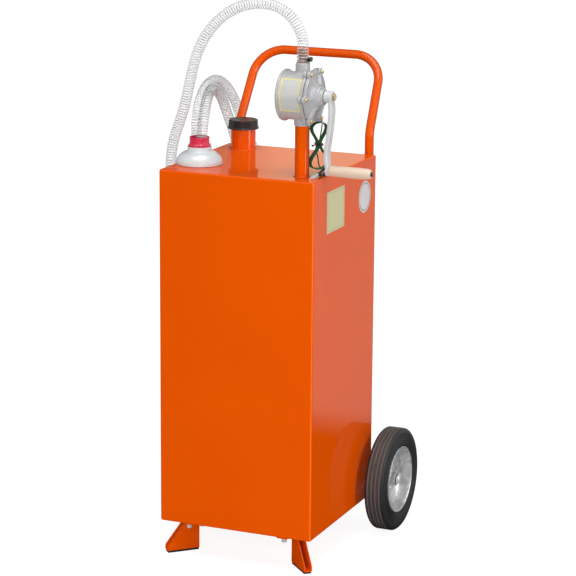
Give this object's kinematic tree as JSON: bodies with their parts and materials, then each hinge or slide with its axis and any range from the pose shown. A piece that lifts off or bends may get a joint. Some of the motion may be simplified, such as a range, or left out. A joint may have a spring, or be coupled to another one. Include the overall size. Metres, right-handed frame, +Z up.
{
  "type": "portable fuel caddy",
  "caption": "Wheeled fuel tank with a rotary hand pump on a riser pipe, clear delivery hose, screw filler cap, push handle and earth wire.",
  "frame": {"origin": "centre of the bounding box's base, on the floor, measured without the hose and the earth wire", "axes": "+Z up, front wall faces -Y, pump and crank on the +X side, handle and wheels at +Y"},
  "size_m": [0.5834, 0.5484, 1.3495],
  "materials": {
    "paint": "gloss orange enamel",
    "black_plastic": "moulded black",
    "rubber": "black rubber",
    "tyre": "solid black tyre",
    "cast": "cast, silver grey",
    "steel": "zinc plated",
    "silver": "silver",
    "brass": "turned brass",
    "wood": "pale turned wood",
    "clear": "clear with a wire spiral",
    "red": "moulded red",
    "chromed": "bright",
    "fibre": "pressed fibre",
    "green": "green insulation",
    "dark_steel": "dark"
  },
  "bodies": {
    "caddy": {"tank_wrap": "paint", "tank_top": "paint", "tank_bottom": "paint", "filler_neck": "paint", "riser_pipe": "paint", "handle_tube": "paint", "axle_bracket_left": "paint", "axle_bracket_right": "paint", "foot_left": "paint", "foot_right": "paint", "hank_tie": "black_plastic", "shaft_seal": "rubber", "foot_pad_left": "rubber", "foot_pad_right": "rubber", "pump_body": "cast", "pump_cover": "cast", "suction_tube": "steel", "hose_clamp": "steel", "handle_bolt_1": "steel", "handle_bolt_2": "steel", "handle_bolt_3": "steel", "handle_bolt_4": "steel", "clip_pin": "steel", "drip_bell": "silver", "outlet_spout": "brass", "cover_screw_1": "brass", "cover_screw_2": "brass", "cover_screw_3": "brass", "cover_screw_4": "brass", "cover_screw_5": "brass", "cover_screw_6": "brass", "hose": "clear", "hose_end": "clear", "axle": "chromed", "axle_nut_left": "chromed", "axle_nut_right": "chromed", "pump_gasket": "fibre", "earth_lead": "green", "earth_hank": "green", "earth_tail": "green", "clamp_screw": "dark_steel", "clip_jaw_lower": "dark_steel"},
    "wheel_left": {"tyre_left": "tyre", "rim_left": "silver", "hub_bush_left": "black_plastic"},
    "wheel_right": {"tyre_right": "tyre", "rim_right": "silver", "hub_bush_right": "black_plastic"},
    "crank": {"crank_arm": "cast", "crank_nut": "brass", "grip_pin": "steel", "pump_shaft": "steel", "pump_rotor": "steel", "vane_1": "fibre", "vane_2": "fibre"},
    "grip": {"crank_grip": "wood"},
    "cap_seal": {"cap_gasket": "rubber"},
    "cap": {"filler_cap": "black_plastic"},
    "collar": {"bell_collar": "red"},
    "clip_jaw": {"clip_jaw_upper": "dark_steel"}
  },
  "joints": [
    {"name": "wheel_left_spin", "type": "hinge", "parent": "caddy", "child": "wheel_left", "pos_m": [-0.26667, 0.1462, 0.128], "axis": [1, 0, 0], "continuous": true},
    {"name": "wheel_right_spin", "type": "hinge", "parent": "caddy", "child": "wheel_right", "pos_m": [0.21932, 0.1462, 0.128], "axis": [1, 0, 0], "continuous": true},
    {"name": "crank_spin", "type": "hinge", "parent": "caddy", "child": "crank", "pos_m": [0.18882, -0.2043, 1.1337], "axis": [1, 0, 0], "continuous": true},
    {"name": "grip_spin", "type": "hinge", "parent": "crank", "child": "grip", "pos_m": [0.23633, -0.2043, 0.9632], "axis": [1, 0, 0], "continuous": true},
    {"name": "cap_lift", "type": "slide", "parent": "caddy", "child": "cap_seal", "axis": [0, 0, 1], "range_m": [0, 0.012]},
    {"name": "cap_turn", "type": "hinge", "parent": "cap_seal", "child": "cap", "pos_m": [-0.15027, 0.0631, 1.0042], "axis": [0, 0, 1], "range_deg": [0, 1440]},
    {"name": "collar_turn", "type": "hinge", "parent": "caddy", "child": "collar", "pos_m": [-0.16467, -0.1565, 0.9942], "axis": [0, 0, 1], "continuous": true},
    {"name": "clip_open", "type": "hinge", "parent": "caddy", "child": "clip_jaw", "pos_m": [0.15513, -0.18861, 0.9511], "axis": [-0.993, 0.1184, 0], "range_deg": [0, 15], "stiffness_Nm_per_rad": 0.25, "springref_deg": -22.92}
  ],
  "couplings": [
    {"joint": "cap_lift", "follows": "cap_turn", "m_per_rad": 0.00047746}
  ]
}
